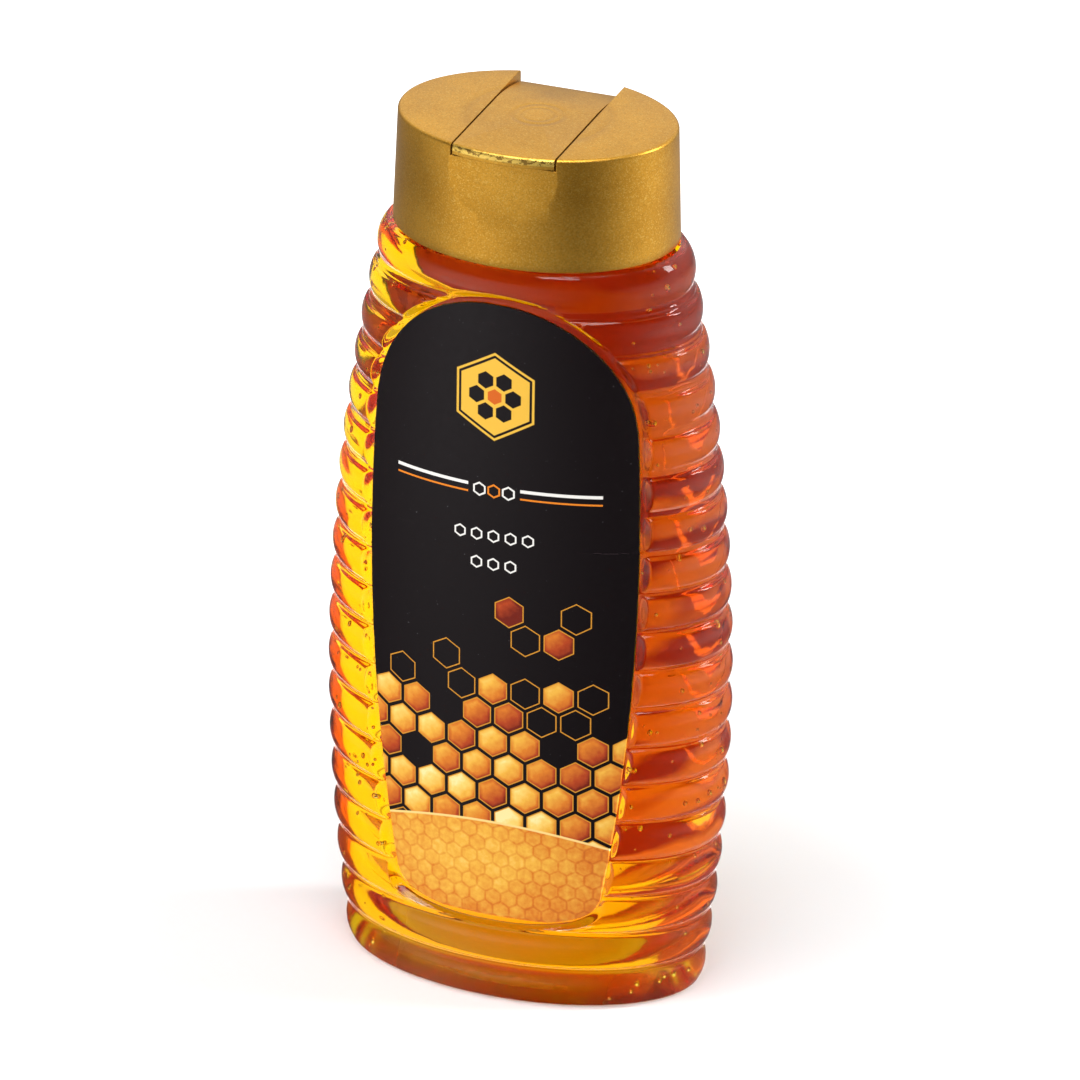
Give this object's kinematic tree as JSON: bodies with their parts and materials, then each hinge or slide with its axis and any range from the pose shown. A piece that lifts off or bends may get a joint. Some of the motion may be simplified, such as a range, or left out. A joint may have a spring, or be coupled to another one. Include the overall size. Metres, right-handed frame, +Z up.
{
  "type": "squeeze bottle",
  "caption": "Tall oval squeeze bottle with stacked round ribs, a recessed label panel front and back, a screw-on oval closure and a hinged flip lid over a valve.",
  "frame": {"origin": "centre of the foot, on the surface the bottle stands on", "axes": "+Z up to the lid, X across the wide sides, the front label and the lid's lip face -Y"},
  "size_m": [0.0808, 0.0442, 0.1764],
  "materials": {
    "bottle_clear": "clear blow-moulded PET, glossy",
    "honey": "clear amber liquid with small air bubbles",
    "label": "satin film label, printed",
    "closure": "satin gold pigmented polypropylene",
    "valve": "translucent silicone",
    "valve_ring": "natural polypropylene",
    "seal_foil": "induction-seal foil"
  },
  "bodies": {
    "bottle": {"bottle": "bottle_clear", "honey": "honey", "front_label": "label", "back_label": "label", "mouth_seal": "seal_foil"},
    "thread_lift": {"valve_ring": "valve_ring"},
    "closure": {"closure_base": "closure", "valve": "valve", "living_hinge": "closure"},
    "lid": {"flip_lid": "closure"}
  },
  "joints": [
    {"name": "cap_lift", "type": "slide", "parent": "bottle", "child": "thread_lift", "axis": [0, 0, 1], "range_m": [0, 0.0172]},
    {"name": "cap_turn", "type": "hinge", "parent": "thread_lift", "child": "closure", "pos_m": [0, 0, 0.16], "axis": [0, 0, 1], "range_deg": [0, 1440]},
    {"name": "lid_hinge", "type": "hinge", "parent": "closure", "child": "lid", "pos_m": [0, 0.01895, 0.1736], "axis": [-1, 0, 0], "range_deg": [0, 170], "deforming": ["living_hinge"]}
  ],
  "couplings": [
    {"joint": "cap_lift", "follows": "cap_turn", "m_per_rad": 0.00067323}
  ]
}
